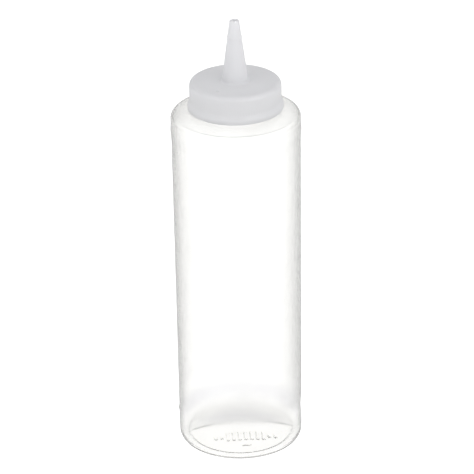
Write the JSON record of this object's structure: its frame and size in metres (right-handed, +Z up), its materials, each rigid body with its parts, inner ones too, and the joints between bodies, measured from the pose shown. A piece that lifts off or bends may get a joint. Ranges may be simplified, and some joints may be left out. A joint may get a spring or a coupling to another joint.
{
  "type": "condiment squeeze bottle",
  "caption": "Tall round translucent squeeze bottle for sauces, closed by a screw cap with a long open cone nozzle.",
  "frame": {"origin": "centre of the bottle's standing ring, on the surface it stands on", "axes": "+Z up along the bottle's axis, towards the nozzle's tip; the bottle is round, so +X and +Y only follow the thread, which starts on +X"},
  "size_m": [0.0578, 0.0578, 0.2032],
  "materials": {
    "bottle_plastic": "thin translucent natural polyethylene, softly frosted, with a low sheen",
    "cap_plastic": "cloudy, slightly grey translucent polyethylene, moulded satin"
  },
  "bodies": {
    "bottle": {"squeeze_bottle": "bottle_plastic"},
    "cap": {"cone_tip_cap": "cap_plastic"}
  },
  "joints": [
    {"name": "cap_lift", "type": "slide", "parent": "bottle", "child": "cap", "axis": [0, 0, 1], "range_m": [0, 0.06]}
  ]
}
